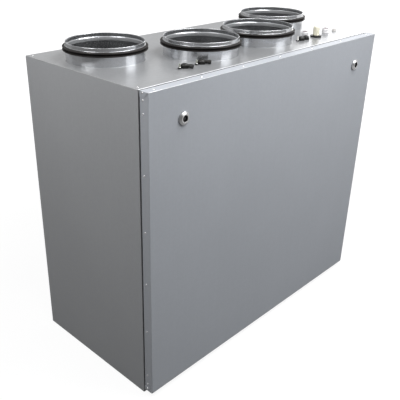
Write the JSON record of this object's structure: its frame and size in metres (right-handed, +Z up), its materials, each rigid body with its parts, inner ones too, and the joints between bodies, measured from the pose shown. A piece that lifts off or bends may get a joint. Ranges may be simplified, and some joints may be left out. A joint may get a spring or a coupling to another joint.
{
  "type": "vertical air handling unit",
  "caption": "Insulated sheet-steel ventilation cabinet with round duct spigots on its roof and a lift-off front door held by quarter-turn locks.",
  "frame": {"origin": "on the floor, under the middle of the cabinet without its door", "axes": "+X to the right seen from the front, +Y to the back, +Z up"},
  "size_m": [1.188, 0.5893, 1.107],
  "materials": {
    "casing_sheet": "matt grey galvanised sheet",
    "roof_zinc": "bright galvanised sheet with soft brushing",
    "spigot_zinc": "bright rolled galvanised steel",
    "inner_sheet": "plain galvanised sheet",
    "black_rubber": "matt black rubber",
    "black_plastic": "black moulded polyamide",
    "cream_plastic": "cream moulded plastic",
    "white_plastic": "white moulded plastic",
    "grey_plastic": "grey moulded plastic",
    "exchanger_aluminium": "thin aluminium plates",
    "filter_media": "pleated white fibre",
    "fan_metal": "satin aluminium wheel and zinc bridge",
    "lock_chrome": "bright chrome",
    "lock_black": "black lock insert"
  },
  "bodies": {
    "casing": {"base_panel": "casing_sheet", "left_side_panel": "casing_sheet", "right_side_panel": "casing_sheet", "back_panel": "casing_sheet", "roof_panel": "roof_zinc", "spigot_1": "spigot_zinc", "spigot_2": "spigot_zinc", "spigot_3": "spigot_zinc", "spigot_4": "spigot_zinc", "spigot_seal_1": "black_rubber", "spigot_seal_2": "black_rubber", "spigot_seal_3": "black_rubber", "spigot_seal_4": "black_rubber", "door_seal": "black_rubber", "catch_left": "inner_sheet", "catch_right": "inner_sheet", "door_ledge": "casing_sheet", "gland_1": "black_plastic", "gland_2": "black_plastic", "gland_3": "black_plastic", "gland_4": "black_plastic", "gland_5": "grey_plastic", "gland_6": "grey_plastic", "power_gland": "cream_plastic", "power_nut": "black_plastic", "stub_1": "spigot_zinc", "stub_2": "spigot_zinc", "stub_3": "white_plastic", "stub_4": "white_plastic", "left_partition": "inner_sheet", "right_partition": "inner_sheet", "upper_partition": "inner_sheet", "lower_partition": "inner_sheet", "left_fan_deck": "inner_sheet", "right_fan_deck": "inner_sheet", "heat_exchanger": "exchanger_aluminium", "left_filter": "filter_media", "right_filter": "filter_media", "drain_tray": "inner_sheet", "left_fan": "fan_metal", "right_fan": "fan_metal", "control_box": "grey_plastic"},
    "door": {"door_skin": "casing_sheet", "door_inner_panel": "inner_sheet", "lock_collar_left": "lock_chrome", "lock_collar_right": "lock_chrome"},
    "lock_left": {"lock_core_left": "lock_black"},
    "lock_right": {"lock_core_right": "lock_black"}
  },
  "joints": [
    {"name": "door_lift_off", "type": "slide", "parent": "casing", "child": "door", "axis": [0, -1, 0], "range_m": [0, 0.45]},
    {"name": "lock_left_turn", "type": "hinge", "parent": "door", "child": "lock_left", "pos_m": [-0.462, -0.27, 0.9525], "axis": [0, -1, 0], "range_deg": [0, 90]},
    {"name": "lock_right_turn", "type": "hinge", "parent": "door", "child": "lock_right", "pos_m": [0.462, -0.27, 0.9525], "axis": [0, 1, 0], "range_deg": [0, 90]}
  ]
}
